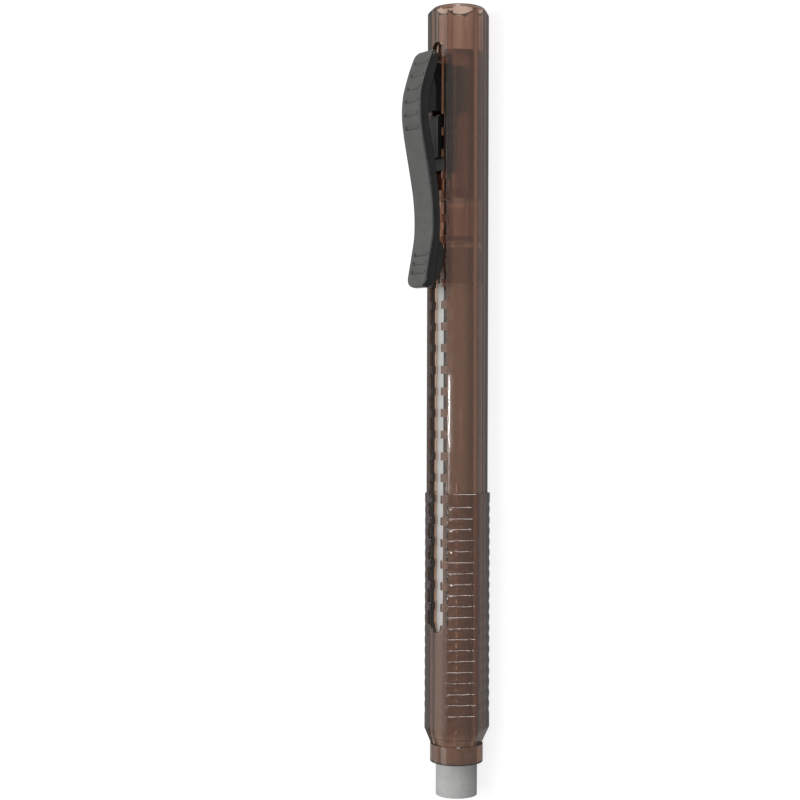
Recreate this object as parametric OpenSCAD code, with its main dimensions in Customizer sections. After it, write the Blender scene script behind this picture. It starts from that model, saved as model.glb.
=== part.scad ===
// Click eraser: a six-sided clear barrel with a toothed slot, a pocket clip that
// slides along it, and a round eraser held by a carriage inside.
// The pen lies along X with its tip towards -X, resting on the flat opposite the slot.

/* [Barrel] */
// Length of the barrel, from the rear rim to the nozzle rim
barrel_length = 123.1; // [121:0.1:150]
// Width across the flats behind the grip
barrel_flats = 8.92; // [8.7:0.02:9.2]
// Rounding of the barrel's six long edges
barrel_edge_r = 0.3; // [0.1:0.05:1]
// Radius of the long bore
bore_r = 3.75; // [3.6:0.01:3.85]
// Radius of the rim at the open rear end
rear_rim_r = 4.15; // [4:0.05:4.4]
// Length of the bevel that cuts the corners at the rear end
rear_bevel = 1; // [0.5:0.05:3]
// Width of the bevel inside the rear mouth
mouth_bevel = 0.25; // [0.05:0.01:0.35]
// Depth of that bevel
mouth_bevel_depth = 0.6; // [0.2:0.05:1]

/* [Grip] */
// Width across the flats of the raised grip
grip_flats = 9.6; // [9.3:0.02:10.4]
// Rounding of the grip's long edges
grip_edge_r = 0.4; // [0.1:0.05:1]
// Length of the grip, from its rear step to the start of the taper
grip_length = 38.4; // [30:0.1:50]
// Distance from one rib to the next
rib_pitch = 1.77; // [1.4:0.01:3]
// Gap between two ribs
rib_gap = 0.35; // [0.2:0.05:1]
// Height of the ribs
rib_height = 0.08; // [0.05:0.01:0.3]
// Smooth band between the last gap and the taper
front_band = 2.6; // [0.5:0.1:4]
// Least smooth band at the rear step of the grip
rear_band = 0.8; // [0.2:0.1:1.5]

/* [Nozzle] */
// Length of the taper between grip and nozzle
taper_length = 2.5; // [1.5:0.1:6]
// Slope of the tapered faces, in degrees
taper_angle = 22.8; // [10:0.1:24]
// Outer radius of the round nozzle
nozzle_r = 4.33; // [4.1:0.01:4.5]
// Length of the round nozzle
nozzle_length = 3; // [2:0.1:10]
// Rounding of the nozzle's rim
nozzle_edge_r = 0.25; // [0.1:0.05:0.3]
// Length of the narrow bore that guides the eraser
nozzle_bore_length = 4.1; // [2.5:0.1:6]

/* [Slot] */
// Distance from the rear rim to the start of the slot
slot_start = 5.9; // [4:0.1:6.5]
// Width of the slot between its teeth
slot_width = 2.4; // [1.8:0.05:2.6]
// Width of the slot at its notches
notch_width = 3.8; // [3.4:0.05:4]
// Distance from one notch to the next
notch_pitch = 3.5; // [3:0.01:3.6]
// Length of one notch along the pen
notch_length = 2.2; // [1.8:0.05:2.4]
// Distance from the rear rim to the notch that holds the latch at rest
latch_notch = 24.8; // [24:0.05:26]
// Notches behind the one that holds the latch at rest
notches_behind = 2; // [0:1:2]
// Number of clicks from rest to the last notch
click_count = 21; // [5:1:21]
// Length of the plain slot beyond the last notch
slot_tail = 1.4; // [1.1:0.1:4]

/* [Clip] */
// Width of the clip
clip_width = 5.4; // [4.6:0.1:6]
// Rounding of the clip's corners, seen from above
clip_corner_r = 1.5; // [0.5:0.1:1.9]
// Rounding of the clip's long edges
clip_edge_r = 0.45; // [0.1:0.05:0.5]
// Clearance between the clip and the slotted face
clip_clearance = 0.1; // [0.05:0.01:0.4]
// Width of the bump that rides on the slotted face
bump_width = 4.4; // [4:0.1:4.6]
// Radius of the bump
bump_r = 1.3; // [0.8:0.1:1.6]
// Height of clip that is left above the bump's two ends
bump_cover = 0.3; // [0.2:0.05:0.5]
// Distance from the rear rim to the first thumb groove
thumb_groove_start = 9.5; // [9.2:0.1:10.4]
// Number of thumb grooves near the rear
thumb_grooves = 6; // [1:1:7]
// Distance from one thumb groove to the next
thumb_groove_pitch = 2.14; // [1.6:0.02:2.4]
// Distance from the rear rim to the first front groove
tip_groove_start = 40.4; // [38:0.1:40.8]
// Number of grooves near the front
tip_grooves = 3; // [1:1:4]
// Distance from one front groove to the next
tip_groove_pitch = 1.45; // [1.2:0.05:1.8]
// Depth of the grooves
groove_depth = 0.22; // [0.05:0.01:0.3]
// Length of the grooves across the clip
groove_length = 4.1; // [2:0.1:4.3]
// Distance along the pen over which a groove deepens, up to its steep front wall
groove_run = 0.9; // [0.5:0.05:1.4]
// Radius of the dimples at the two ends of each groove
dimple_r = 0.34; // [0.2:0.02:0.4]

/* [Slider] */
// Clearance between the neck or the latch and the sides of the slot
slot_clearance = 0.1; // [0.05:0.01:0.3]
// Rear end of the neck, from the rear rim
neck_start = 9.1; // [8.2:0.1:9.6]
// Front end of the neck, from the rear rim
neck_end = 17.4; // [16:0.1:18]
// Width of the neck's rounded rear end
neck_rear_width = 1.2; // [0.6:0.1:1.4]
// Length of the neck's full-width front part
neck_front_length = 4; // [2:0.1:6]
// Distance from the neck's rear end to the rear face of its foot
foot_setback = 0.8; // [0.6:0.05:1.5]
// Step down from the top of the latch's tongue to the top of the foot
foot_step = 0.2; // [0.1:0.05:0.4]
// Gap between the neck and the latch's ridge
neck_gap = 0.4; // [0.2:0.05:1]
// Height of the latch's ridge above the slotted face
ridge_height = 0.75; // [0.2:0.05:1.2]
// Rounding of the ridge's rear corner
ridge_edge_r = 0.8; // [0.3:0.1:1]
// Depth of the latch's ears below the slotted face
ear_depth = 0.15; // [0.1:0.05:0.4]
// Thickness of the latch's tongue
tongue_thickness = 1; // [0.6:0.1:1.4]
// Distance that the latch has to bend down
latch_bend = 1.3; // [1:0.1:1.5]

/* [Eraser holder] */
// Running clearance between the holder and the bore
holder_clearance = 0.05; // [0.02:0.01:0.1]
// Rear end of the holder, from the rear rim
holder_start = 7.3; // [6:0.1:7.6]
// Thickness of the holder's rear wall and of its collar
holder_wall = 0.8; // [0.5:0.05:0.9]
// Thickness of the wall between the pocket and the first window
pocket_end_wall = 1.45; // [1:0.05:2]
// Half width of the pocket for the foot and the latch
pocket_half_width = 2.3; // [2.1:0.05:2.5]
// Height of the pocket's floor above the pen's axis
pocket_floor = -0.5; // [-1:0.1:-0.4]
// Front end of the holder's solid carriage, from the rear rim
carriage_end = 31.4; // [30.5:0.05:32]
// Length of each ring-shaped window
window_length = 0.95; // [0.4:0.05:1]
// Length of the collar between the two windows
collar_length = 6; // [4:0.1:6.5]
// Width of the two bridges that cross each window
bridge_width = 1.8; // [1:0.1:3]
// Length of the jaws that grip the eraser
jaw_length = 5.8; // [4:0.1:6.5]
// Number of slits between the jaws
slit_count = 3; // [2:1:4]
// Width of each slit
slit_width = 0.8; // [0.4:0.1:1.2]
// Length of the uncut root of the jaws
jaw_root = 1; // [0.5:0.1:2]
// Radius of the stop that the eraser's rear end rests against
stop_r = 1.2; // [0.6:0.1:2]

/* [Eraser] */
// Radius of the eraser
eraser_r = 3.38; // [3.2:0.01:3.42]
// Length of the eraser that stands out of the nozzle
eraser_reach = 5.6; // [2:0.1:20]
// Rounding of the worn front edge
eraser_edge_r = 0.2; // [0.1:0.1:1.5]
// Clearance between the eraser and what guides or grips it
eraser_clearance = 0.04; // [0.02:0.01:0.08]
// Clearance between the eraser and the nozzle's bore
nozzle_clearance = 0.1; // [0.05:0.01:0.12]

/* [Hidden] */

// Places along the pen are distances from the rear rim
face_h = barrel_flats / 2;
grip_h = grip_flats / 2;
nozzle_start = barrel_length - nozzle_length;
taper_start = nozzle_start - taper_length;
grip_start = taper_start - grip_length;
bore_end = barrel_length - nozzle_bore_length;
nozzle_bore_r = eraser_r + nozzle_clearance;
last_notch_end = latch_notch + click_count * notch_pitch + notch_length;
slot_end = last_notch_end + slot_tail;
web_half = slot_width / 2 - slot_clearance;
ear_half = notch_width / 2 - 1.5 * slot_clearance;
ear_start = latch_notch + slot_clearance;
ear_end = latch_notch + notch_length - slot_clearance;
tongue_low = pocket_floor + latch_bend;
tongue_high = tongue_low + tongue_thickness;
foot_high = tongue_high - foot_step;
pocket_end = carriage_end - pocket_end_wall;
holder_r = bore_r - holder_clearance;
jaw_bore_r = eraser_r + eraser_clearance;
collar_start = carriage_end + window_length;
collar_end = collar_start + collar_length;
jaw_start = collar_end + window_length;
holder_end = jaw_start + jaw_length;
eraser_end = barrel_length + eraser_reach;
edge_steps = 4;
round_faces = 96;
small_round_faces = 32;
overlap = 0.01;
// How far a cutter reaches past what it cuts, and a length beyond every part of the pen's section
cut_past = 1;
big = 40;

// The clip's outer face: [distance from the rear rim, height above the slotted face, thickness]
clip_bend = [
    [7.6, 1.95, 1], [7.75, 2.25, 1.1], [8.4, 2.75, 1.35], [9.7, 3.35, 1.55],
    [11.8, 4.15, 1.7], [15.1, 5.1, 1.7], [18.4, 5.3, 1.7], [21.55, 4.9, 1.75],
    [24.75, 4.25, 1.8], [27.9, 3.6, 1.7], [31.1, 3, 1.6], [34.3, 2.7, 1.5],
    [37.6, 2.75, 1.5], [40.8, 3.3, 1.6], [44.1, 3.95, 1.7], [45.9, 4.15, 1.6]
];
// Places of the bump's lowest point and of its two ends, from the rear rim
bump_middle = 41.6;
bump_ends = [39.6, 43.9];
// Distance from the clip's outer face down to the top of the neck inside it
neck_cover = 0.7;
slope_step = 0.3;
bend_steps = 5;
end_steps = 6;
corner_steps = 4;
least_flat = 0.05;

// A point on the smooth curve through the points p, a share t of the way from point i to the next
function curve_at(p, i, t) =
    let (
        a = p[max(i - 1, 0)], b = p[i], c = p[i + 1], d = p[min(i + 2, len(p) - 1)],
        slope = (c - a) * t,
        square_term = (2 * a - 5 * b + 4 * c - d) * pow(t, 2),
        cube_term = (3 * b - a - 3 * c + d) * pow(t, 3)
    )
    b + (slope + square_term + cube_term) / 2;

// The bend again, with heights above the axis
bend_points = [for (p = clip_bend) [p[0], face_h + p[1], p[2]]];
bend_count = len(bend_points);
clip_stations = concat(
    [for (k = [0:end_steps - 1]) curve_at(bend_points, 0, 1 - cos(90 * k / end_steps))],
    [for (i = [1:bend_count - 3]) for (k = [0:bend_steps - 1]) curve_at(bend_points, i, k / bend_steps)],
    [for (k = [0:end_steps]) curve_at(bend_points, bend_count - 2, sin(90 * k / end_steps))]
);
station_count = len(clip_stations);

// How far a corner of radius r draws in, at distance d from the end
function draw_in(r, d) = d >= r ? 0 : r - sqrt(r * r - pow(r - d, 2));

// Distance of station i from the nearer end of the clip
function end_distance(i) =
    let (p = clip_stations[i], a = clip_stations[0], b = clip_stations[station_count - 1])
    min(norm([p[0] - a[0], p[1] - a[1]]), norm([p[0] - b[0], p[1] - b[1]]));

// Direction that points out of the clip's outer face at station i: [along the pen, height]
function out_of_face(i) =
    let (
        a = clip_stations[max(i - 1, 0)], b = clip_stations[min(i + 1, station_count - 1)],
        d = [b[0] - a[0], b[1] - a[1]]
    )
    [-d[1], d[0]] / norm(d);

// One rounded cross-section of the clip
function clip_ring(i) =
    let (
        p = clip_stations[i], out = out_of_face(i), d = end_distance(i),
        half_w = clip_width / 2 - draw_in(clip_corner_r, d),
        half_t = p[2] / 2 - draw_in(clip_edge_r, d),
        r = min(clip_edge_r, half_t - least_flat, half_w - least_flat),
        middle = [p[0], p[1]] - out * p[2] / 2
    )
    [for (q = [0:3]) for (k = [0:corner_steps])
        let (
            turn = 90 * (q + k / corner_steps),
            side = (q == 0 || q == 3 ? 1 : -1) * (half_w - r) + r * cos(turn),
            lift = (q < 2 ? 1 : -1) * (half_t - r) + r * sin(turn),
            at = middle + out * lift
        )
        [at[1], side, at[0]]
    ];

// Height of the clip's outer face at the distance s from the rear rim
function clip_face_h(s) =
    lookup(s, [for (i = [end_steps:station_count - 1]) [clip_stations[i][0], clip_stations[i][1]]]);

// Slope of the clip's outer face there, in degrees
function clip_face_slope(s) =
    atan((clip_face_h(s + slope_step) - clip_face_h(s - slope_step)) / (2 * slope_step));

// Lays the pen down: its length along X, the slotted face up
module laid() {
    translate([eraser_end / 2, 0, grip_h]) rotate([0, -90, 0]) children();
}

// Six-sided outline with rounded corners, one flat towards +X
module hexagon(flats, edge_r) {
    corner = (flats - 2 * edge_r) / sqrt(3);
    polygon([
        for (i = [0:5]) for (k = [0:edge_steps])
            let (turn = 60 * (i + k / edge_steps))
            corner * [cos(60 * i + 30), sin(60 * i + 30)] + edge_r * [cos(turn), sin(turn)]
    ]);
}

// A six-sided bar between two places along the pen
module bar(flats, edge_r, from, to) {
    translate([0, 0, from]) linear_extrude(height = to - from) hexagon(flats, edge_r);
}

// A box between two places along the pen, centred across it
module block(low, high, width, from, to) {
    translate([low, -width / 2, from]) cube([high - low, width, to - from]);
}

// The plain bar, with its corners turned down at the rear end
module plain_bar() {
    intersection() {
        bar(barrel_flats, barrel_edge_r, 0, taper_start);
        rotate_extrude($fn = round_faces)
            polygon([
                [0, 0], [rear_rim_r, 0], [barrel_flats / sqrt(3), rear_bevel],
                [big, rear_bevel], [big, taper_start], [0, taper_start]
            ]);
    }
}

// The raised grip: a lower core, with the ribs and two smooth bands on it
module grip_bar() {
    ribs_end = taper_start - front_band;
    gap_count = 1 + floor((ribs_end - rib_gap - rear_band - grip_start) / rib_pitch);
    bar(grip_flats - 2 * rib_height, grip_edge_r, grip_start, taper_start);
    bar(grip_flats, grip_edge_r, ribs_end, taper_start);
    for (i = [1:gap_count]) {
        rear = i < gap_count ? ribs_end - i * rib_pitch : grip_start;
        bar(grip_flats, grip_edge_r, rear, ribs_end - (i - 1) * rib_pitch - rib_gap);
    }
}

// The six faces that lean in towards the nozzle
module taper_bar() {
    difference() {
        bar(grip_flats, grip_edge_r, taper_start, nozzle_start + overlap);
        for (i = [0:5])
            rotate(60 * i)
                translate([grip_h, -big / 2, taper_start])
                    rotate([0, -taper_angle, 0])
                        cube([big, big, big]);
    }
}

module nozzle() {
    rotate_extrude($fn = round_faces) {
        translate([0, nozzle_start]) square([nozzle_r - nozzle_edge_r, nozzle_length]);
        translate([0, nozzle_start]) square([nozzle_r, nozzle_length - nozzle_edge_r]);
        translate([nozzle_r - nozzle_edge_r, barrel_length - nozzle_edge_r])
            circle(r = nozzle_edge_r, $fn = small_round_faces);
    }
}

// The long bore, the narrow bore in the nozzle and the bevel in the rear mouth
module barrel_bores() {
    translate([0, 0, -cut_past]) cylinder(r = bore_r, h = bore_end + cut_past, $fn = round_faces);
    translate([0, 0, bore_end - cut_past])
        cylinder(r = nozzle_bore_r, h = nozzle_bore_length + 2 * cut_past, $fn = round_faces);
    translate([0, 0, -overlap])
        cylinder(r1 = bore_r + mouth_bevel, r2 = bore_r, h = mouth_bevel_depth, $fn = round_faces);
}

// The slot with its round ends and its notches
module slot_cut() {
    block(0, big, slot_width, slot_start + slot_width / 2, slot_end - slot_width / 2);
    for (s = [slot_start + slot_width / 2, slot_end - slot_width / 2])
        translate([0, 0, s]) rotate([0, 90, 0]) cylinder(d = slot_width, h = big, $fn = small_round_faces);
    for (k = [-notches_behind:click_count]) {
        notch_start = latch_notch + k * notch_pitch;
        block(0, big, notch_width, notch_start, notch_start + notch_length);
    }
}

module barrel() {
    color([0.45, 0.33, 0.27, 0.6]) laid() difference() {
        union() {
            plain_bar();
            // The face that carries the slot stays level from end to end
            intersection() {
                union() {
                    grip_bar();
                    taper_bar();
                }
                block(-big, face_h, 2 * big, 0, barrel_length);
            }
            nozzle();
        }
        barrel_bores();
        slot_cut();
    }
}

// The curved bar of the clip, lofted through its cross-sections
module clip_bar() {
    rings = [for (i = [0:station_count - 1]) clip_ring(i)];
    n = len(rings[0]);
    points = [for (r = rings) each r];
    sides = [
        for (i = [0:station_count - 2]) for (k = [0:n - 1])
            let (a = i * n + k, b = i * n + (k + 1) % n)
            each [[a, b + n, a + n], [a, b, b + n]]
    ];
    rear_cap = [[for (k = [0:n - 1]) n - 1 - k]];
    front_cap = [[for (k = [0:n - 1]) (station_count - 1) * n + k]];
    polyhedron(points = points, faces = concat(rear_cap, sides, front_cap), convexity = 4);
}

// One shallow groove across the clip's outer face: a ramp that ends at a steep front wall, with a
// round dimple at each end of the wall
module clip_groove(s) {
    translate([clip_face_h(s), 0, s])
        rotate([0, clip_face_slope(s), 0]) {
            rotate([90, 0, 0]) linear_extrude(height = groove_length, center = true)
                polygon([
                    [0, -groove_run / 2], [-groove_depth, groove_run / 2],
                    [cut_past, groove_run / 2], [cut_past, -groove_run / 2]
                ]);
            for (end = [-groove_length / 2, groove_length / 2])
                translate([-groove_depth, end, groove_run / 2 - dimple_r]) rotate([0, 90, 0])
                    cylinder(r = dimple_r, h = cut_past, $fn = small_round_faces);
        }
}

// The thin neck under the rear half of the clip, seen from above a wedge with a round rear end
module clip_neck() {
    intersection() {
        rotate([90, 0, 0]) linear_extrude(height = 2 * web_half, center = true)
            polygon(concat(
                [[foot_high - overlap, neck_end], [foot_high - overlap, neck_start]],
                [for (s = [neck_start:(neck_end - neck_start) / 8:neck_end + overlap])
                    [clip_face_h(s) - neck_cover, s]]
            ));
        hull() {
            translate([0, 0, neck_start + neck_rear_width / 2]) rotate([0, 90, 0])
                cylinder(d = neck_rear_width, h = big, $fn = small_round_faces);
            block(0, big, 2 * web_half, neck_end - neck_front_length, neck_end);
        }
    }
}

// The foot of the neck, which sits on the floor of the holder's pocket
module clip_foot() {
    foot_half = pocket_half_width - slot_clearance;
    block(pocket_floor, foot_high, 2 * foot_half, neck_start + foot_setback, neck_end);
}

// The rounded bump under the clip's front end
module clip_bump() {
    low = face_h + clip_clearance / 2 + bump_r;
    ends = [for (s = bump_ends) [clip_face_h(s) - bump_cover - bump_r, s]];
    hull() {
        for (p = concat([[low, bump_middle]], ends))
            translate([p[0], 0, p[1]]) rotate([90, 0, 0])
                cylinder(r = bump_r, h = bump_width, center = true, $fn = small_round_faces);
    }
}

module clip() {
    color([0.24, 0.25, 0.24]) laid() {
        difference() {
            clip_bar();
            for (i = [0:thumb_grooves - 1]) clip_groove(thumb_groove_start + i * thumb_groove_pitch);
            for (i = [0:tip_grooves - 1]) clip_groove(tip_groove_start + i * tip_groove_pitch);
        }
        clip_neck();
        clip_foot();
        clip_bump();
    }
}

// The springy tongue: it leaves the foot, carries the ridge in the slot and ends in two ears
module latch() {
    ridge_high = face_h + ridge_height;
    ridge_start = neck_end + neck_gap;
    round_h = ridge_high - ridge_edge_r;
    round_place = ridge_start + ridge_edge_r;
    tongue_half = ear_half - slot_clearance;
    color([0.3, 0.31, 0.3]) laid() {
        block(tongue_low, tongue_high, 2 * tongue_half, neck_end, ear_end);
        block(tongue_high - overlap, ridge_high, 2 * web_half, round_place, ear_start + overlap);
        block(tongue_high - overlap, round_h, 2 * web_half, ridge_start, ear_start + overlap);
        translate([round_h, 0, round_place]) rotate([90, 0, 0])
            cylinder(r = ridge_edge_r, h = 2 * web_half, center = true, $fn = small_round_faces);
        block(tongue_high - overlap, face_h - ear_depth, 2 * ear_half, ear_start, ear_end);
    }
}

// A ring-shaped window through the holder, crossed by two bridges
module window(from) {
    difference() {
        translate([0, 0, from]) cylinder(r = holder_r + cut_past, h = window_length, $fn = round_faces);
        block(-big, big, bridge_width, from - cut_past, from + window_length + cut_past);
    }
}

module eraser_holder() {
    neck_way = 2 * (web_half + 2 * slot_clearance);
    stop_face = collar_end - holder_wall;
    slit_start = jaw_start + jaw_root;
    color([0.36, 0.25, 0.2, 0.8]) laid() {
        difference() {
            translate([0, 0, holder_start])
                cylinder(r = holder_r, h = holder_end - holder_start, $fn = round_faces);
            block(pocket_floor, big, 2 * pocket_half_width, holder_start + holder_wall, pocket_end);
            block(foot_high, big, neck_way, holder_start - cut_past, holder_start + 2 * holder_wall);
            translate([0, 0, carriage_end])
                cylinder(r = holder_r - holder_wall, h = stop_face - carriage_end, $fn = round_faces);
            translate([0, 0, collar_end])
                cylinder(r = jaw_bore_r, h = holder_end - collar_end + cut_past, $fn = round_faces);
            window(carriage_end);
            window(collar_end);
            for (i = [0:slit_count - 1])
                rotate(360 / slit_count * i)
                    block(jaw_bore_r - cut_past, big, slit_width, slit_start, holder_end + cut_past);
        }
        translate([0, 0, collar_end - overlap])
            cylinder(r = stop_r, h = window_length - holder_clearance + overlap, $fn = small_round_faces);
    }
}

module eraser() {
    color([0.93, 0.93, 0.91]) laid() rotate_extrude($fn = round_faces) {
        translate([0, jaw_start]) square([eraser_r - eraser_edge_r, eraser_end - jaw_start]);
        translate([0, jaw_start]) square([eraser_r, eraser_end - eraser_edge_r - jaw_start]);
        translate([eraser_r - eraser_edge_r, eraser_end - eraser_edge_r])
            circle(r = eraser_edge_r, $fn = small_round_faces);
    }
}

barrel();
clip();
latch();
eraser_holder();
eraser();
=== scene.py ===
"""Click eraser in clear smoke-brown plastic, lying on its grip with the slotted face up.

The pieces are shaped in millimetres. A place along the pen is s, its distance from the rear rim,
and the heights are above the pen's axis, which runs along X with the tip towards -X. Each mesh
is then laid in the frame's metres.
"""
import math

import bmesh
import bpy
from mathutils import Matrix, Vector


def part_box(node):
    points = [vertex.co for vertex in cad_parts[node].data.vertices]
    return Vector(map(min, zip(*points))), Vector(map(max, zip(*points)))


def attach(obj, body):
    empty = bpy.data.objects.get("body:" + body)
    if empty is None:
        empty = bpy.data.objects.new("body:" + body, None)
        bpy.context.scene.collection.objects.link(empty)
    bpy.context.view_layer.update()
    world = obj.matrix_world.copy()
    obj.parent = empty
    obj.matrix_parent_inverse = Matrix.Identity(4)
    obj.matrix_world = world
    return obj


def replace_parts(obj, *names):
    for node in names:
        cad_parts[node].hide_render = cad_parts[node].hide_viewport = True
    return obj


MM = 0.001

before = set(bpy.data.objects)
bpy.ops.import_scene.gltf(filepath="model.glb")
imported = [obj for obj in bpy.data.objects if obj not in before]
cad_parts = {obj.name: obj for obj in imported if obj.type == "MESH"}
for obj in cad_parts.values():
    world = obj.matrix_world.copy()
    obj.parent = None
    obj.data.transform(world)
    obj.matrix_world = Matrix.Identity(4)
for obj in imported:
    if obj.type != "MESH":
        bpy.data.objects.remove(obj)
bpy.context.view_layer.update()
rear_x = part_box("barrel")[1].x

# Barrel
AXIS_HEIGHT = 4.8
BARREL_LENGTH = 123.1
FACE_H = 4.46
BARREL_EDGE_R = 0.3
BORE_R = 3.75
REAR_RIM_R = 4.15
REAR_BEVEL = 1.0
CORNER_R = 5.15
MOUTH_BEVEL = 0.25
MOUTH_DEPTH = 0.6
CROWN = 0.04

# Grip
GRIP_H = 4.8
GRIP_START = 79.2
GRIP_EDGE_R = 0.4
TAPER_START = 117.6
TAPER_ANGLE = math.radians(22.8)
RIBS_END = 115.0
RIB_PITCH = 1.77
RIB_GAP = 0.35
RIB_COUNT = 20
RIB_HEIGHT = 0.08
# From a rib's steep wall towards the tip: place after the crest, depth below the grip's face
RIB_FACE = [(-0.03, RIB_HEIGHT), (0.04, 0.028), (0.2, 0.01), (0.35, 0.002), (0.6, 0)]
RIB_FALL = [(0.9, 0.01), (1.15, 0.045)]

# Nozzle
NOZZLE_START = 120.1
NOZZLE_R = 4.33
NOZZLE_EDGE_R = 0.1
NOZZLE_BORE_R = 3.48
BORE_END = 119.0

# Slot
SLOT_START = 5.9
SLOT_END = 101.9
SLOT_HALF = 1.2
NOTCH_HALF = 1.9
NOTCH_PITCH = 3.5
NOTCH_LENGTH = 2.2
LATCH_NOTCH = 24.8
NOTCHES = range(-2, 22)
SLOT_RIM_EASE = 0.03
# The barrel's rows of points bend round the slot's ends between these places
BEND_START = 3.0
BEND_END = 104.0
# Least room between two rows, and the step by which a rib moves to get it
ROW_ROOM = 0.03
ROW_SHIFT = 0.01

# Clip
CLIP_HALF = 2.7
CLIP_CORNER_R = 1.5
CLIP_EDGE_R = 0.45
GROOVE_DEPTH = 0.22
GROOVE_HALF = 1.6
GROOVE_RUN = 0.9
GROOVE_WALL = 0.05
DIMPLE_R = 0.3
DIMPLE_WALL = 0.08
GROOVES = [9.5 + 2.14 * i for i in range(6)] + [40.4 + 1.45 * i for i in range(3)]
# The clip's outer face: distance from the rear rim, height above the slotted face, thickness
CLIP_BEND = [
    (7.6, 1.95, 1.0), (7.75, 2.25, 1.1), (8.4, 2.75, 1.35), (9.7, 3.35, 1.55),
    (11.8, 4.15, 1.7), (15.1, 5.1, 1.7), (18.4, 5.3, 1.7), (21.55, 4.9, 1.75),
    (24.75, 4.25, 1.8), (27.9, 3.6, 1.7), (31.1, 3.0, 1.6), (34.3, 2.7, 1.5),
    (37.6, 2.75, 1.5), (40.8, 3.3, 1.6), (44.1, 3.95, 1.7), (45.9, 4.15, 1.6),
]
BUMP_PLACE = 41.6
BUMP_ROOTS = (39.6, 43.9)
BUMP_R = 1.3
BUMP_WIDTH = 4.4

# Slider
WEB_HALF = 1.1
EAR_HALF = 1.75
NECK_START = 9.1
NECK_END = 17.4
NECK_NOSE_R = 0.6
NECK_WEDGE_END = NECK_END - 4
FOOT_HALF = 2.2
POCKET_FLOOR = -0.5
TONGUE_LOW = 0.8
TONGUE_HIGH = 1.8
RIDGE_HIGH = FACE_H + 0.75
RIDGE_EDGE_R = 0.8
EAR_GAP = 0.1

# Eraser
ERASER_R = 3.38
ERASER_START = 39.3
ERASER_END = 128.7
TIP_EDGE_R = 0.1
TIP_DOME = 0.12
# Distances from the tip at which the greying starts and is full
GREY_START = 7
GREY_FULL = 4.5


def lerp(a, b, t):
    """The value a share t of the way from a to b."""
    return a + (b - a) * t


def each_once(items):
    """The items in their order, each one once."""
    return list(dict.fromkeys(items))


def lay_down(bm):
    """Moves a piece from the pen's millimetres to its place in the frame's metres."""
    bmesh.ops.recalc_face_normals(bm, faces=bm.faces)
    bmesh.ops.scale(bm, verts=bm.verts, vec=(MM, MM, MM))
    bmesh.ops.translate(bm, verts=bm.verts, vec=(rear_x, 0, AXIS_HEIGHT * MM))


def finish_piece(name, bm, materials, body, sharp_angle, ease=0):
    """Turns a bmesh in the frame's metres into a smooth-shaded piece that rides on a body.
    Its sharp edges are eased by the width ease, in metres."""
    for face in bm.faces:
        face.smooth = True
    mesh = bpy.data.meshes.new(name)
    bm.to_mesh(mesh)
    bm.free()
    mesh.set_sharp_from_angle(angle=math.radians(sharp_angle))
    for material in materials:
        mesh.materials.append(material)
    piece = bpy.data.objects.new(name, mesh)
    bpy.context.scene.collection.objects.link(piece)
    if ease:
        eased = piece.modifiers.new("eased_edges", "BEVEL")
        eased.width = ease
        eased.segments = 2
        eased.limit_method = "ANGLE"
        eased.angle_limit = math.radians(40)
    even = piece.modifiers.new("even_shading", "WEIGHTED_NORMAL")
    even.keep_sharp = True
    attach(piece, body)
    return piece


def ring_edges(bm, ring):
    """The edges of a closed ring of vertices."""
    return [bm.edges.get((ring[i - 1], ring[i])) for i in range(len(ring))]


def next_ring(bm, ring):
    """Extrudes a closed ring of vertices and gives the new ring in the same order."""
    made = bmesh.ops.extrude_edge_only(bm, edges=ring_edges(bm, ring))["geom"]
    new = {v for v in made if isinstance(v, bmesh.types.BMVert)}
    return [next(e.other_vert(v) for e in v.link_edges if e.other_vert(v) in new) for v in ring]


def loft(bm, sections):
    """Extrudes a ring through the given sections, each a list of points."""
    ring = bmesh.ops.create_circle(bm, segments=len(sections[0]), radius=1)["verts"]
    rings = []
    for section in sections:
        if rings:
            ring = next_ring(bm, ring)
        for vert, point in zip(ring, section):
            vert.co = point
        rings.append(ring)
    return rings


def prism(bm, outline, push):
    """Extrudes a flat outline by the vector push into a closed block."""
    verts = [bm.verts.new(point) for point in outline]
    face = bmesh.ops.contextual_create(bm, geom=verts)["faces"][0]
    made = bmesh.ops.extrude_face_region(bm, geom=[face], use_keep_orig=True)["geom"]
    far = [v for v in made if isinstance(v, bmesh.types.BMVert)]
    bmesh.ops.translate(bm, verts=far, vec=push)
    return verts + far


def soften(bm, verts, width, segments=3, least_angle=35):
    """Rounds the sharp edges of the block made of these vertices."""
    block = set(verts)
    bmesh.ops.recalc_face_normals(bm, faces=each_once(f for v in verts for f in v.link_faces))
    edges = each_once(
        e for v in verts for e in v.link_edges
        if e.other_vert(v) in block and e.calc_face_angle(0) > math.radians(least_angle))
    bmesh.ops.bevel(bm, geom=edges, offset=width, segments=segments, profile=0.5,
                    affect="EDGES", clamp_overlap=True, material=-1)


# Materials


def new_material(name):
    """A node material with its nodes, its links and its shader."""
    material = bpy.data.materials.new(name)
    material.use_nodes = True
    tree = material.node_tree
    return material, tree.nodes, tree.links, tree.nodes["Principled BSDF"]


def object_noise(nodes, links, scale, detail=3, stretch=(1, 1, 1)):
    """Noise that is fixed to the piece; scale is in waves per metre."""
    place = nodes.new("ShaderNodeTexCoord")
    turn = nodes.new("ShaderNodeMapping")
    turn.inputs["Scale"].default_value = stretch
    noise = nodes.new("ShaderNodeTexNoise")
    noise.inputs["Scale"].default_value = scale
    noise.inputs["Detail"].default_value = detail
    links.new(place.outputs["Object"], turn.inputs["Vector"])
    links.new(turn.outputs["Vector"], noise.inputs["Vector"])
    return noise


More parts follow.
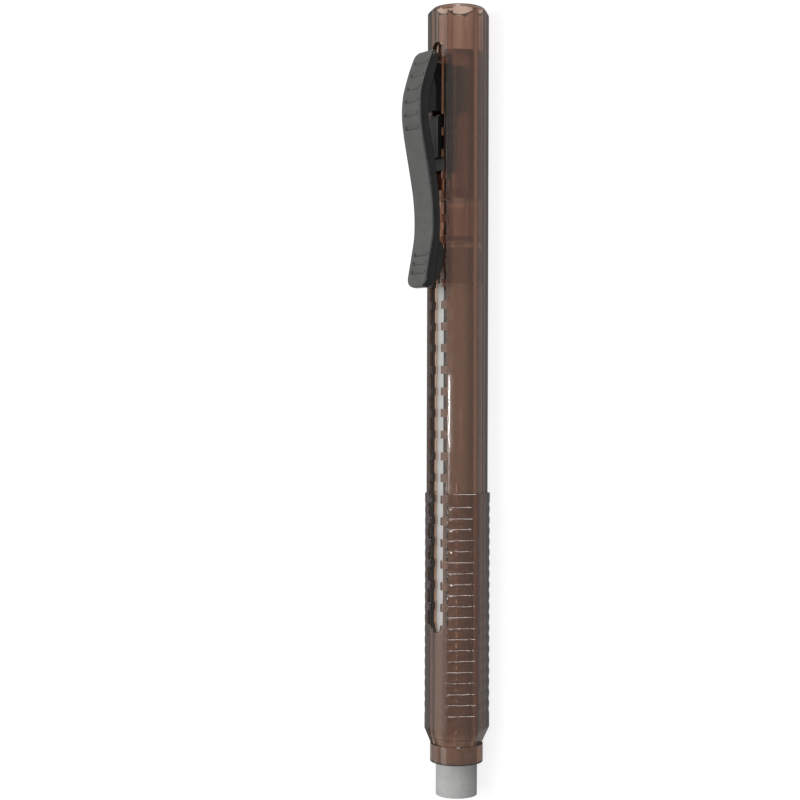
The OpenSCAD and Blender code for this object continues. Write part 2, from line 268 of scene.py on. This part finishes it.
def spread(nodes, links, source, low, high, from_low=0.3, from_high=0.7):
    """Maps the middle of a 0 to 1 pattern to the range from low to high."""
    node = nodes.new("ShaderNodeMapRange")
    node.inputs["From Min"].default_value = from_low
    node.inputs["From Max"].default_value = from_high
    node.inputs["To Min"].default_value = low
    node.inputs["To Max"].default_value = high
    links.new(source, node.inputs["Value"])
    return node.outputs["Result"]


def add_bump(nodes, links, shader, height, distance):
    """Raises the surface by a 0 to 1 pattern times the distance in metres."""
    bump = nodes.new("ShaderNodeBump")
    bump.inputs["Distance"].default_value = distance
    links.new(height, bump.inputs["Height"])
    links.new(bump.outputs["Normal"], shader.inputs["Normal"])


def blend(nodes, links, amount, first, second):
    """Mixes the second colour into the first, which is three numbers or another node's colour."""
    mix = nodes.new("ShaderNodeMix")
    mix.data_type = "RGBA"
    if isinstance(first, bpy.types.NodeSocket):
        links.new(first, mix.inputs["A"])
    else:
        mix.inputs["A"].default_value = (*first, 1)
    mix.inputs["B"].default_value = (*second, 1)
    links.new(amount, mix.inputs["Factor"])
    return mix.outputs["Result"]


def smoke_plastic(name, base, through, absorption, density):
    """Clear brown plastic with handling haze: tinted at its skin and again through its wall.
    A lamp's light passes each skin with the tint called through."""
    material, nodes, links, shader = new_material(name)
    shader.inputs["Base Color"].default_value = (*base, 1)
    shader.inputs["IOR"].default_value = 1.5
    shader.inputs["Transmission Weight"].default_value = 0.96
    haze = object_noise(nodes, links, 260, 4)
    links.new(spread(nodes, links, haze.outputs["Fac"], 0.025, 0.07), shader.inputs["Roughness"])
    flow = object_noise(nodes, links, 90, 2, (0.25, 1, 1))
    add_bump(nodes, links, shader, flow.outputs["Fac"], 0.000012)
    lamp_ray = nodes.new("ShaderNodeLightPath")
    pane = nodes.new("ShaderNodeBsdfTransparent")
    pane.inputs["Color"].default_value = (*through, 1)
    mix = nodes.new("ShaderNodeMixShader")
    links.new(lamp_ray.outputs["Is Shadow Ray"], mix.inputs["Fac"])
    links.new(shader.outputs["BSDF"], mix.inputs[1])
    links.new(pane.outputs["BSDF"], mix.inputs[2])
    links.new(mix.outputs["Shader"], nodes["Material Output"].inputs["Surface"])
    inside = nodes.new("ShaderNodeVolumeAbsorption")
    inside.inputs["Color"].default_value = (*absorption, 1)
    inside.inputs["Density"].default_value = density
    links.new(inside.outputs["Volume"], nodes["Material Output"].inputs["Volume"])
    return material


def grained_plastic(name, dark, light, rough_low, rough_high, grain_height, shine):
    """Opaque plastic with a fine moulded grain and slightly uneven shade."""
    material, nodes, links, shader = new_material(name)
    shader.inputs["Specular IOR Level"].default_value = shine
    cloud = object_noise(nodes, links, 500, 4)
    tone = blend(nodes, links, spread(nodes, links, cloud.outputs["Fac"], 0, 1), dark, light)
    links.new(tone, shader.inputs["Base Color"])
    grain = object_noise(nodes, links, 7000, 3)
    links.new(spread(nodes, links, grain.outputs["Fac"], rough_low, rough_high),
              shader.inputs["Roughness"])
    add_bump(nodes, links, shader, grain.outputs["Fac"], grain_height)
    return material


def paint_shade_into_grooves(material):
    """Paints shade into a material's colour: darker where the piece's own attribute for the grooves says
    so.
    """
    nodes, links = material.node_tree.nodes, material.node_tree.links
    shader = nodes["Principled BSDF"]
    plain = shader.inputs["Base Color"].links[0].from_socket
    lines = nodes.new("ShaderNodeAttribute")
    lines.attribute_name = "groove_painted_shade"
    darker = blend(nodes, links, lines.outputs["Fac"], plain, (0.012, 0.012, 0.012))
    links.new(darker, shader.inputs["Base Color"])


def vinyl(name):
    """Soft white vinyl: matt, faintly mottled, and greyed in specks along its bare end."""
    material, nodes, links, shader = new_material(name)
    shader.inputs["Subsurface Weight"].default_value = 0.15
    shader.inputs["Subsurface Radius"].default_value = (0.0006, 0.0005, 0.0004)
    shader.inputs["Subsurface Scale"].default_value = 1
    shader.inputs["Roughness"].default_value = 0.62
    mottle = object_noise(nodes, links, 700, 5)
    mottled_white = blend(nodes, links, spread(nodes, links, mottle.outputs["Fac"], 0, 1),
                  (0.56, 0.565, 0.545), (0.63, 0.635, 0.615))
    place = nodes.new("ShaderNodeTexCoord")
    axes = nodes.new("ShaderNodeSeparateXYZ")
    links.new(place.outputs["Object"], axes.inputs["Vector"])
    near_tip = spread(nodes, links, axes.outputs["X"], 0, 1,
                      rear_x - (ERASER_END - GREY_START) * MM, rear_x - (ERASER_END - GREY_FULL) * MM)
    tip_grey_noise = object_noise(nodes, links, 1800, 5)
    specks = spread(nodes, links, tip_grey_noise.outputs["Fac"], 0.3, 0.42, 0.45, 0.72)
    amount = nodes.new("ShaderNodeMath")
    amount.operation = "MULTIPLY"
    links.new(specks, amount.inputs[0])
    links.new(near_tip, amount.inputs[1])
    greyed = blend(nodes, links, amount.outputs["Value"], mottled_white, (0.25, 0.25, 0.25))
    links.new(greyed, shader.inputs["Base Color"])
    grain = object_noise(nodes, links, 5000, 4)
    add_bump(nodes, links, shader, grain.outputs["Fac"], 0.00002)
    return material


barrel_plastic = smoke_plastic(
    "smoke_brown_plastic", base=(0.82, 0.71, 0.622), through=(0.73, 0.655, 0.585),
    absorption=(0.54, 0.36, 0.25), density=1400)
holder_plastic = smoke_plastic(
    "holder_smoke_plastic", base=(0.90, 0.80, 0.74), through=(0.9, 0.84, 0.79),
    absorption=(0.55, 0.36, 0.26), density=420)
# Painted shade: a near-black end face that draws the dark line along the nozzle's rim
painted_rim_shade = grained_plastic(
    "nozzle_rim_painted_shade", dark=(0.03, 0.02, 0.016), light=(0.045, 0.03, 0.024),
    rough_low=0.35, rough_high=0.5, grain_height=0.000004, shine=0.3)
clip_grain = grained_plastic(
    "clip_grained_face", dark=(0.086, 0.089, 0.083), light=(0.108, 0.111, 0.105),
    rough_low=0.42, rough_high=0.6, grain_height=0.000012, shine=0.35)
# Sides and undersides of the clip and latch: a real glossy polish, and a near-black colour that is painted
# shade beside the grey face
painted_shade_clip_sides = grained_plastic(
    "polished_clip_sides_with_painted_shade", dark=(0.007, 0.0075, 0.007), light=(0.011, 0.0115, 0.011),
    rough_low=0.1, rough_high=0.17, grain_height=0.000002, shine=0.36)
# Painted shade along the clip's grooves
paint_shade_into_grooves(clip_grain)
eraser_vinyl = vinyl("eraser_vinyl")


# Barrel


def flat_direction(turn):
    """Direction out of the pen's section at an angle from the slotted face: (across, up)."""
    return Vector((math.sin(math.radians(turn)), math.cos(math.radians(turn))))


# Columns of points on each half of the slotted face, and steps round the rest of the section
TOP_COLUMNS = (0.6, 1.04, SLOT_HALF, NOTCH_HALF)
FLAT_STEPS = 10
ARC_STEPS = 4
# The columns beside the slotted face's start about here, in degrees from the slot's middle
OUTER_CORNER = 28
BORE_CORNER = 34


def six_sided(top, side, edge_r):
    """Points round the six-sided section, from the middle of the slotted face on. The other five
    faces are slightly crowned."""
    lines = [top] + [side - CROWN] * 5
    arcs = []
    for i in range(6):
        a, b = lines[i] - edge_r, lines[(i + 1) % 6] - edge_r
        middle = (flat_direction(60 * i) * (a - b / 2) + flat_direction(60 * i + 60) * (b - a / 2)) / 0.75
        arcs.append([middle + flat_direction(60 * (i + k / ARC_STEPS)) * edge_r
                     for k in range(ARC_STEPS + 1)])
    points = [Vector((y, top)) for y in (0, *TOP_COLUMNS)] + arcs[0]
    for i in range(1, 6):
        for k in range(1, FLAT_STEPS):
            t = k / FLAT_STEPS
            rise = CROWN * (1 - (2 * t - 1) ** 2)
            points.append(lerp(arcs[i - 1][-1], arcs[i][0], t) + flat_direction(60 * i) * rise)
        points += arcs[i]
    return points + [Vector((-y, top)) for y in reversed(TOP_COLUMNS)]


def within(points, radius):
    """Draws points that lie beyond the radius in to it."""
    return [p * min(1, radius / p.length) for p in points]


plain_section = six_sided(FACE_H, FACE_H, BARREL_EDGE_R)
COLUMN_TURNS = [math.degrees(math.atan2(p.x, p.y)) for p in plain_section]
# Places across of the columns of points that lie on the slotted face, by their index
TOP_Y = {i: p.x for i, p in enumerate(plain_section)
         if min(i, len(plain_section) - i) <= len(TOP_COLUMNS)}


def round_section(radius):
    """A circle whose points below the slotted face stand at the same places across as the slot."""
    points = []
    for i, turn in enumerate(COLUMN_TURNS):
        if i in TOP_Y:
            y = TOP_Y[i]
            points.append(Vector((y, math.sqrt(radius * radius - y * y))))
        else:
            size = abs(turn)
            if size < 90:
                size = BORE_CORNER + (size - OUTER_CORNER) * (90 - BORE_CORNER) / (90 - OUTER_CORNER)
            points.append(flat_direction(math.copysign(size, turn)) * radius)
    return points


def profile_at(profile, s):
    """Linear look-up in a list of (place, value) pairs."""
    for (a, low), (b, high) in zip(profile, profile[1:]):
        if s <= b:
            return lerp(low, high, (s - a) / (b - a))
    return profile[-1][1]


def clear_of(place, steps, others):
    """Moves a place along until none of the steps after it falls beside one of the others."""
    while any(abs(place + step - other) < ROW_ROOM for step in steps for other in others):
        place += ROW_SHIFT
    return place


notch_rows = [LATCH_NOTCH + k * NOTCH_PITCH + end for k in NOTCHES for end in (0, NOTCH_LENGTH)]
slot_first = SLOT_START + SLOT_HALF
slot_last = SLOT_END - SLOT_HALF

# Distance of the five ordinary faces from the axis, along the pen
side_profile = [(0, FACE_H), (GRIP_START - 0.06, FACE_H)]
side_profile += [(GRIP_START, GRIP_H - 0.05), (GRIP_START + 0.08, GRIP_H)]
rib_steps = [0] + [RIB_GAP + step for step, _ in RIB_FACE + RIB_FALL]
for i in reversed(range(RIB_COUNT)):
    gap = clear_of(RIBS_END - RIB_GAP - i * RIB_PITCH, rib_steps, notch_rows + [slot_last, BEND_END])
    if i == RIB_COUNT - 1:
        side_profile.append((gap - 0.3, GRIP_H))
    side_profile.append((gap, GRIP_H - RIB_HEIGHT))
    form = RIB_FACE + RIB_FALL if i else RIB_FACE
    side_profile += [(gap + RIB_GAP + step, GRIP_H - depth) for step, depth in form]
side_profile += [(TAPER_START - 0.05, GRIP_H), (TAPER_START + 0.05, GRIP_H - 0.02)]
side_profile.append((NOZZLE_START, GRIP_H - (NOZZLE_START - TAPER_START) * math.tan(TAPER_ANGLE)))

plain_rows = [REAR_BEVEL, BEND_START, slot_first, slot_last, BEND_END]
outer_rows = sorted({round(s, 4) for s in
                     plain_rows + notch_rows + [s for s, _ in side_profile if s >= REAR_BEVEL]})


def slot_reach(s, y):
    """How far the slot's round ends move a row of points along the pen."""
    reach = math.sqrt(max(0, SLOT_HALF ** 2 - y * y))
    if BEND_START < s <= slot_first:
        return -reach * (s - BEND_START) / (slot_first - BEND_START)
    if slot_last <= s < BEND_END:
        return reach * (BEND_END - s) / (BEND_END - slot_last)
    return 0


def placed(s, points):
    """Stands a section's points at the place s, with the rows bent round the slot's ends."""
    row = []
    for i, p in enumerate(points):
        move = slot_reach(s, TOP_Y[i]) if i in TOP_Y else 0
        row.append(Vector((-(s + move), p.x, p.y)))
    return row


def outer_section(s):
    """The barrel's outer section at the place s."""
    side = profile_at(side_profile, s)
    edge_r = lerp(BARREL_EDGE_R, GRIP_EDGE_R, min(1, max(0, s - GRIP_START)))
    return six_sided(min(FACE_H, side), side, edge_r)


def barrel_rows():
    """The barrel's surface from the rear rim along the outside, round the nozzle's rim and back."""
    rows = []
    for k, extra in ((0, -0.04), (0.04, 0), (0.25, 0), (0.5, 0), (0.75, 0)):
        limit = lerp(REAR_RIM_R, CORNER_R, k / REAR_BEVEL) + extra
        rows.append((k, within(plain_section, limit)))
    rows += [(s, outer_section(s)) for s in outer_rows]
    full = [p.normalized() for p in plain_section]
    rows.append((NOZZLE_START + 0.02, [p * (NOZZLE_R - 0.05) for p in full]))
    rows.append((NOZZLE_START + 0.07, [p * NOZZLE_R for p in full]))
    for k in range(5):
        turn = math.radians(90 * k / 4)
        s = BARREL_LENGTH - NOZZLE_EDGE_R * (1 - math.sin(turn))
        rows.append((s, [p * (NOZZLE_R - NOZZLE_EDGE_R * (1 - math.cos(turn))) for p in full]))
    rows.append((BARREL_LENGTH, round_section(NOZZLE_BORE_R + 0.08)))
    rows.append((BARREL_LENGTH - 0.08, round_section(NOZZLE_BORE_R)))
    rows.append((BORE_END + 0.03, round_section(NOZZLE_BORE_R)))
    rows.append((BORE_END, round_section(NOZZLE_BORE_R + 0.03)))
    rows.append((BORE_END - 0.02, round_section(BORE_R)))
    inner = [s for s in outer_rows if BEND_START <= s <= BEND_END]
    rows += [(s, round_section(BORE_R)) for s in reversed(inner)]
    rows.append((MOUTH_DEPTH, round_section(BORE_R)))
    rows.append((0.04, round_section(BORE_R + MOUTH_BEVEL - 0.02)))
    rows.append((0, round_section(BORE_R + MOUTH_BEVEL + 0.02)))
    return rows


def in_slot(low, high, y):
    """Whether a cell between two rows and at the place y across is open."""
    if low < slot_first - 0.001 or high > slot_last + 0.001:
        return False
    if abs(y) < SLOT_HALF:
        return True
    middle = (low + high) / 2
    starts = (LATCH_NOTCH + k * NOTCH_PITCH for k in NOTCHES)
    return abs(y) < NOTCH_HALF and any(a < middle < a + NOTCH_LENGTH for a in starts)


def make_barrel():
    """The whole moulding as one wall, with the slot's cells taken out and its rim closed."""
    bm = bmesh.new()
    rows = barrel_rows()
    rings = loft(bm, [placed(s, points) for s, points in rows])
    bmesh.ops.bridge_loops(bm, edges=ring_edges(bm, rings[-1]) + ring_edges(bm, rings[0]))
    columns = sorted(TOP_Y, key=TOP_Y.get)
    open_cells = []
    for i in range(len(rows) - 1):
        low, high = sorted((rows[i][0], rows[i + 1][0]))
        for a, b in zip(columns, columns[1:]):
            if in_slot(low, high, (TOP_Y[a] + TOP_Y[b]) / 2):
                face = bm.faces.get((rings[i][a], rings[i][b], rings[i + 1][b], rings[i + 1][a]))
                if face:
                    open_cells.append(face)
    bmesh.ops.delete(bm, geom=open_cells, context="FACES")
    edge_of_slot = [e for e in bm.edges if e.is_boundary]
    bmesh.ops.bridge_loops(bm, edges=edge_of_slot)
    bmesh.ops.recalc_face_normals(bm, faces=bm.faces)
    rim = [e for e in edge_of_slot if e.is_valid and e.verts[0].co.z > FACE_H - 0.05]
    bmesh.ops.bevel(bm, geom=rim, offset=SLOT_RIM_EASE, segments=2, profile=0.5, affect="EDGES",
                    clamp_overlap=True, material=-1)
    # The nozzle's end face takes the near-black material, painted shade along its rim
    for face in bm.faces:
        if face.calc_center_median().x < 0.05 - BARREL_LENGTH:
            face.material_index = 1
    lay_down(bm)
    return finish_piece(
        "barrel_moulding", bm, [barrel_plastic, painted_rim_shade], "barrel", 28)


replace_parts(make_barrel(), "barrel")


# Clip and latch


def curve_at(points, i, t):
    """Smooth curve through the points, a share t of the way from point i to the next."""
    a, b = points[max(i - 1, 0)], points[i]
    c, d = points[i + 1], points[min(i + 2, len(points) - 1)]
    return b + ((c - a) * t + (2 * a - 5 * b + 4 * c - d) * t ** 2 + (3 * b - a - 3 * c + d) * t ** 3) / 2


bend = [Vector((s, FACE_H + h, thick)) for s, h, thick in CLIP_BEND]
last = len(bend) - 2
clip_line = [curve_at(bend, 0, 1 - math.cos(math.pi / 2 * k / 6)) for k in range(6)]
clip_line += [curve_at(bend, i, k / 40) for i in range(1, last) for k in range(40)]
clip_line += [curve_at(bend, last, math.sin(math.pi / 2 * k / 12)) for k in range(13)]
face_profile = [(p.x, p.y) for p in clip_line]


def draw_in(r, d):
    """How far a corner of radius r draws in, at the distance d from the end."""
    return 0 if d >= r else r - math.sqrt(r * r - (r - d) ** 2)


def groove_at(s, y):
    """Depth of the grooves in the clip's outer face."""
    depth = 0
    for middle in GROOVES:
        wall = middle + GROOVE_RUN / 2
        if abs(y) < GROOVE_HALF and middle - GROOVE_RUN / 2 < s < wall + GROOVE_WALL:
            ramp = (s - middle + GROOVE_RUN / 2) / GROOVE_RUN
            depth = max(depth, min(ramp, max(0, (wall + GROOVE_WALL - s) / GROOVE_WALL)))
        away = math.hypot(abs(y) - GROOVE_HALF, s - (wall - DIMPLE_R))
        depth = max(depth, min(1, max(0, (DIMPLE_R - away) / DIMPLE_WALL)))
    return GROOVE_DEPTH * depth


def groove_painted_shade(s, y):
    """Share of painted shade: a dark line along each groove's steep wall and in its dimples, where shade
    falls.
    """
    shade = 0
    for middle in GROOVES:
        wall = middle + GROOVE_RUN / 2
        if abs(y) < GROOVE_HALF + 0.1:
            shade = max(shade, 0.75 * max(0, 1 - abs(s - wall) / 0.14))
        away = math.hypot(abs(y) - GROOVE_HALF, s - (wall - DIMPLE_R))
        shade = max(shade, 0.8 * min(1, max(0, (DIMPLE_R - 0.06 - away) / 0.1)))
    return shade


CLIP_TOP = [-1 + 2 * k / 44 for k in range(45)]


def rounded_corner(y, h, r, start, steps):
    """Points round a corner of the bar's section about (y, h), turning back from an angle."""
    turns = [math.radians(start - 90 * k / 5) for k in steps]
    return [(y + r * math.cos(turn), h + r * math.sin(turn)) for turn in turns]


def clip_section(i):
    """One section of the clip's curved bar: its outer face, a side, its underside and a side."""
    p = clip_line[i]
    a, b = clip_line[max(i - 1, 0)], clip_line[min(i + 1, len(clip_line) - 1)]
    along = Vector((b.x - a.x, b.y - a.y)).normalized()
    out = Vector((-along.y, along.x))
    first, final = clip_line[0], clip_line[-1]
    end = min(math.hypot(p.x - first.x, p.y - first.y), math.hypot(p.x - final.x, p.y - final.y))
    half_w = CLIP_HALF - draw_in(CLIP_CORNER_R, end)
    half_t = p.z / 2 - draw_in(CLIP_EDGE_R, end)
    r = min(CLIP_EDGE_R, half_t - 0.03, half_w - 0.03)
    middle = Vector((p.x, p.y)) - out * p.z / 2
    flat, rise = half_w - r, half_t - r
    points = [(t * flat, half_t) for t in CLIP_TOP]
    points += rounded_corner(flat, rise, r, 90, range(1, 6))
    points += rounded_corner(flat, -rise, r, 0, range(6))
    points += [(t * flat, -half_t) for t in (0.6, 0.2, -0.2, -0.6)]
    points += rounded_corner(-flat, -rise, r, -90, range(6))
    points += rounded_corner(-flat, rise, r, -180, range(5))
    row = []
    for k, (y, lift) in enumerate(points):
        at = middle + out * lift
        if k < len(CLIP_TOP):
            at -= out * groove_at(at.x, y)
        row.append(Vector((-at.x, y, at.y)))
    return row


def make_clip():
    """The bent bar with its grooved face, the neck and foot under it, and the bump."""
    bm = bmesh.new()
    # A value on each vertex for the shade painted into the grooves
    shade = bm.verts.layers.float.new("groove_painted_shade")
    rings = loft(bm, [clip_section(i) for i in range(len(clip_line))])
    for ring in (rings[0], rings[-1]):
        bmesh.ops.contextual_create(bm, geom=ring)
    bmesh.ops.recalc_face_normals(bm, faces=bm.faces)
    bm.faces.ensure_lookup_table()
    top = {v for ring in rings for v in ring[:len(CLIP_TOP)]}
    # The outer face keeps the grey colour; the bar's other faces get the near-black copy, painted shade
    for face in bm.faces:
        face.material_index = 0 if all(v in top for v in face.verts) else 1
    bar_faces = set(bm.faces)
    for v in top:
        v[shade] = groove_painted_shade(-v.co.x, v.co.y)

    # The neck, seen from above a wedge with a round rear end
    rear = NECK_START + NECK_NOSE_R
    turns = [math.radians(a) for a in range(-90, 91, 15)]
    nose = [(rear - NECK_NOSE_R * math.cos(turn), NECK_NOSE_R * math.sin(turn)) for turn in turns]
    flank = [(s, lerp(NECK_NOSE_R, WEB_HALF, (s - rear) / (NECK_WEDGE_END - rear))) for s in (11, 12.2)]
    flank += [(s, WEB_HALF) for s in (NECK_WEDGE_END, 14.5, 16, NECK_END)]
    outline = nose + flank + [(s, -y) for s, y in reversed(flank)]
    verts = prism(bm, [(-s, y, 1.5) for s, y in outline], (0, 0, 4))
    for v in verts:
        if v.co.z > 3:
            v.co.z = profile_at(face_profile, -v.co.x) - 0.7

    # The foot in the holder's pocket
    foot = [(-NECK_START - 0.8, -FOOT_HALF), (-NECK_END, -FOOT_HALF),
            (-NECK_END, FOOT_HALF), (-NECK_START - 0.8, FOOT_HALF)]
    verts = prism(bm, [(x, y, POCKET_FLOOR) for x, y in foot], (0, 0, TONGUE_HIGH - 0.2 - POCKET_FLOOR))
    soften(bm, verts, 0.15)

    # The rounded bump that rides on the slotted face
    places = [(BUMP_PLACE, FACE_H + 0.05 + BUMP_R)]
    places += [(s, profile_at(face_profile, s) - 0.3 - BUMP_R) for s in BUMP_ROOTS]
    drums = []
    for s, h in places:
        at = Matrix.Translation((-s, 0, h)) @ Matrix.Rotation(math.pi / 2, 4, "X")
        drums += bmesh.ops.create_cone(bm, segments=64, radius1=BUMP_R, radius2=BUMP_R,
                                       depth=BUMP_WIDTH, cap_ends=True, matrix=at)["verts"]
    hull = bmesh.ops.convex_hull(bm, input=drums)
    inside = hull["geom_interior"] + hull["geom_unused"]
    waste = each_once(g for g in inside if isinstance(g, bmesh.types.BMVert))
    bmesh.ops.delete(bm, geom=waste, context="VERTS")
    left = [v for v in drums if v.is_valid]
    edges = each_once(e for v in left for e in v.link_edges)
    bmesh.ops.dissolve_limit(bm, angle_limit=0.01, verts=left, edges=edges)
    left = [v for v in left if v.is_valid]
    soften(bm, left, 0.3, least_angle=60)
    # The neck, foot and bump get the near-black copy too, painted shade
    for face in bm.faces:
        if face not in bar_faces:
            face.material_index = 1
    lay_down(bm)
    return finish_piece("clip_moulding", bm, [clip_grain, painted_shade_clip_sides], "slider", 40)


def make_latch():
    """The tongue's ridge in the slot, its spring strip and the pair of ears at its end."""
    bm = bmesh.new()
    start = NECK_END + 0.4
    profile = [(start, TONGUE_HIGH - 0.1)]
    for k in range(9):
        turn = math.radians(90 * k / 8)
        profile.append((start + RIDGE_EDGE_R * (1 - math.cos(turn)),
                        RIDGE_HIGH - RIDGE_EDGE_R * (1 - math.sin(turn))))
    ear_start, ear_end = LATCH_NOTCH + EAR_GAP, LATCH_NOTCH + NOTCH_LENGTH - EAR_GAP
    profile += [(ear_start, RIDGE_HIGH), (ear_start, TONGUE_HIGH - 0.1)]
    verts = prism(bm, [(-s, -WEB_HALF, h) for s, h in profile], (0, 2 * WEB_HALF, 0))
    soften(bm, verts, 0.16, least_angle=40)
    for low, high, from_s, half in (
        (TONGUE_LOW, TONGUE_HIGH, NECK_END, EAR_HALF - 0.1),
        (TONGUE_HIGH - 0.1, FACE_H - 0.15, ear_start, EAR_HALF),
    ):
        outline = [(-from_s, -half), (-ear_end, -half), (-ear_end, half), (-from_s, half)]
        verts = prism(bm, [(x, y, low) for x, y in outline], (0, 0, high - low))
        soften(bm, verts, 0.14)
    # Faces turned up get the grey colour and the rest the near-black copy: painted light and shade by
    # which way a face turns
    for face in bm.faces:
        face.material_index = 0 if face.normal.z > 0.7 else 1
    lay_down(bm)
    return finish_piece("latch_tongue", bm, [clip_grain, painted_shade_clip_sides], "slider", 40)


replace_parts(make_clip(), "clip")
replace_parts(make_latch(), "latch")


# Holder and eraser


def make_holder():
    """The carriage, its windows, collar and jaws, with the solid's edges eased."""
    bm = bmesh.new()
    bm.from_mesh(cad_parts["eraser_holder"].data)
    bmesh.ops.remove_doubles(bm, verts=bm.verts, dist=1e-7)
    bmesh.ops.dissolve_limit(bm, angle_limit=math.radians(0.5), verts=bm.verts, edges=bm.edges)
    return finish_piece(
        "eraser_carriage", bm, [holder_plastic], "slider", 30, ease=0.00006)


def make_eraser():
    """A turned stick with a worn, slightly domed tip."""
    bm = bmesh.new()
    profile = [(ERASER_START, 0.02), (ERASER_START, ERASER_R - 0.1), (ERASER_START + 0.1, ERASER_R)]
    profile += [(s, ERASER_R) for s in (60, 85, 110, 124, 126.5)]
    for k in range(1, 9):
        turn = math.radians(78 * k / 8)
        profile.append((ERASER_END - TIP_DOME - TIP_EDGE_R * (1 - math.sin(turn)),
                        ERASER_R - TIP_EDGE_R * (1 - math.cos(turn))))
    rim_s, rim_r = profile[-1]
    for k in range(1, 7):
        share = k / 6
        profile.append((lerp(rim_s, ERASER_END, 1 - (1 - share) ** 2), rim_r * (1 - share) + 0.02 * share))
    line = [bm.verts.new((-s, 0, r)) for s, r in profile]
    edges = [bm.edges.new(pair) for pair in zip(line, line[1:])]
    bmesh.ops.spin(bm, geom=line + edges, axis=(1, 0, 0), cent=(0, 0, 0), steps=96,
                   angle=math.tau, use_merge=True)
    bmesh.ops.holes_fill(bm, edges=[e for e in bm.edges if e.is_boundary], sides=0)
    lay_down(bm)
    return finish_piece("eraser_stick", bm, [eraser_vinyl], "eraser", 40)


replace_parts(make_holder(), "eraser_holder")
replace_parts(make_eraser(), "eraser")


# Camera: close by, square to the pen's length, turned a little over the slotted face

IMAGE = 800
PX_PER_MM = 6.1
EYE = 260
SENSOR_MM = 36
TURN = math.radians(37)
ROLL = math.radians(0.17)
AIM_S = 64.06
AXIS_PX = 57.4

forward = Vector((0, math.cos(TURN), -math.sin(TURN)))
side = Vector((0, -math.sin(TURN), -math.cos(TURN)))
up = side.cross(forward)
aim = Vector((rear_x - AIM_S * MM, 0, AXIS_HEIGHT * MM)) - side * (AXIS_PX / PX_PER_MM * MM)
right = (side * math.cos(ROLL) + up * math.sin(ROLL)).normalized()
up = right.cross(forward)

lens = bpy.data.cameras.new("camera")
lens.sensor_width = SENSOR_MM
lens.lens = EYE * PX_PER_MM / IMAGE * SENSOR_MM
lens.clip_start = 0.01
lens.clip_end = 20
camera = bpy.data.objects.new("camera", lens)
bpy.context.scene.collection.objects.link(camera)
stand = Matrix((right, up, -forward)).transposed().to_4x4()
camera.matrix_world = Matrix.Translation(aim - forward * EYE * MM) @ stand
bpy.context.scene.camera = camera


# Floor, backdrop and lamps


def seen_directly(nodes, links, in_mirrors):
    """1 for camera and see-through rays, in_mirrors for mirror rays, 0 for the light on the pen."""
    path = nodes.new("ShaderNodeLightPath")
    mirrored = nodes.new("ShaderNodeMath")
    mirrored.operation = "MULTIPLY"
    mirrored.inputs[1].default_value = in_mirrors
    links.new(path.outputs["Is Glossy Ray"], mirrored.inputs[0])
    total = mirrored.outputs["Value"]
    for name in ("Is Camera Ray", "Is Transmission Ray"):
        more = nodes.new("ShaderNodeMath")
        more.operation = "MAXIMUM"
        links.new(total, more.inputs[0])
        links.new(path.outputs[name], more.inputs[1])
        total = more.outputs["Value"]
    return total


def pale_floor():
    """A floor that takes the pen's shadow and looks nearly white by a glow that lights nothing."""
    material, nodes, links, shader = new_material("pale_floor")
    shader.inputs["Base Color"].default_value = (0.26, 0.26, 0.26, 1)
    shader.inputs["Roughness"].default_value = 1
    shader.inputs["Specular IOR Level"].default_value = 0
    shader.inputs["Emission Color"].default_value = (1, 1, 1, 1)
    glow = nodes.new("ShaderNodeMath")
    glow.operation = "MULTIPLY"
    glow.inputs[1].default_value = 0.82
    links.new(seen_directly(nodes, links, 0.35), glow.inputs[0])
    links.new(glow.outputs["Value"], shader.inputs["Emission Strength"])
    bm = bmesh.new()
    bmesh.ops.create_grid(bm, x_segments=1, y_segments=1, size=3)
    mesh = bpy.data.meshes.new("floor")
    bm.to_mesh(mesh)
    bm.free()
    mesh.materials.append(material)
    floor = bpy.data.objects.new("floor", mesh)
    bpy.context.scene.collection.objects.link(floor)


def studio_world():
    """White to look at, and softer as a light."""
    world = bpy.data.worlds.new("studio")
    bpy.context.scene.world = world
    world.use_nodes = True
    nodes, links = world.node_tree.nodes, world.node_tree.links
    path = nodes.new("ShaderNodeLightPath")
    strength = nodes.new("ShaderNodeMapRange")
    strength.inputs["To Min"].default_value = 0.42
    strength.inputs["To Max"].default_value = 1
    links.new(path.outputs["Is Camera Ray"], strength.inputs["Value"])
    nodes["Background"].inputs["Color"].default_value = (1, 1, 1, 1)
    links.new(strength.outputs["Result"], nodes["Background"].inputs["Strength"])


def soft_lamp(name, place, target, width, height, power):
    """A rectangular lamp that faces its target, in metres and watts."""
    light = bpy.data.lights.new(name, "AREA")
    light.shape = "RECTANGLE"
    light.size = width
    light.size_y = height
    light.energy = power
    lamp = bpy.data.objects.new(name, light)
    bpy.context.scene.collection.objects.link(lamp)
    lamp.location = place
    lamp.rotation_euler = (Vector(target) - Vector(place)).to_track_quat("-Z", "Y").to_euler()


# The catch lights are narrow strips over the front face, each beside the place s
CATCH_TURN = math.radians(64.8)
CATCH_AWAY = 0.3
CATCH_BREADTH = 0.0045

pale_floor()
studio_world()
soft_lamp("overhead", (0.05, 0.08, 0.6), (0, 0, 0), 0.5, 0.5, 1.55)
for name, s, length, power in (("catch_light", 68.3, 0.0245, 0.0142),
                               ("catch_light_end", 88, 0.018, 0.0014)):
    beside = Vector((rear_x - s * MM, 0, AXIS_HEIGHT * MM))
    towards = Vector((0, -math.sin(CATCH_TURN), math.cos(CATCH_TURN)))
    soft_lamp(name, beside + towards * CATCH_AWAY, beside, length, CATCH_BREADTH, power)
soft_lamp("window", (0, 0.48, 0.36), (0, 0, 0), 0.5, 0.3, 0.25)
soft_lamp("front", (-0.06, -0.24, 0.32), (0, 0, 0), 0.055, 0.055, 0.18)
soft_lamp("rear_strip", (0.44, -0.175, 0.075), (-0.03, 0, 0), 0.2, 0.14, 0.85)

bpy.context.scene.view_settings.view_transform = "Standard"
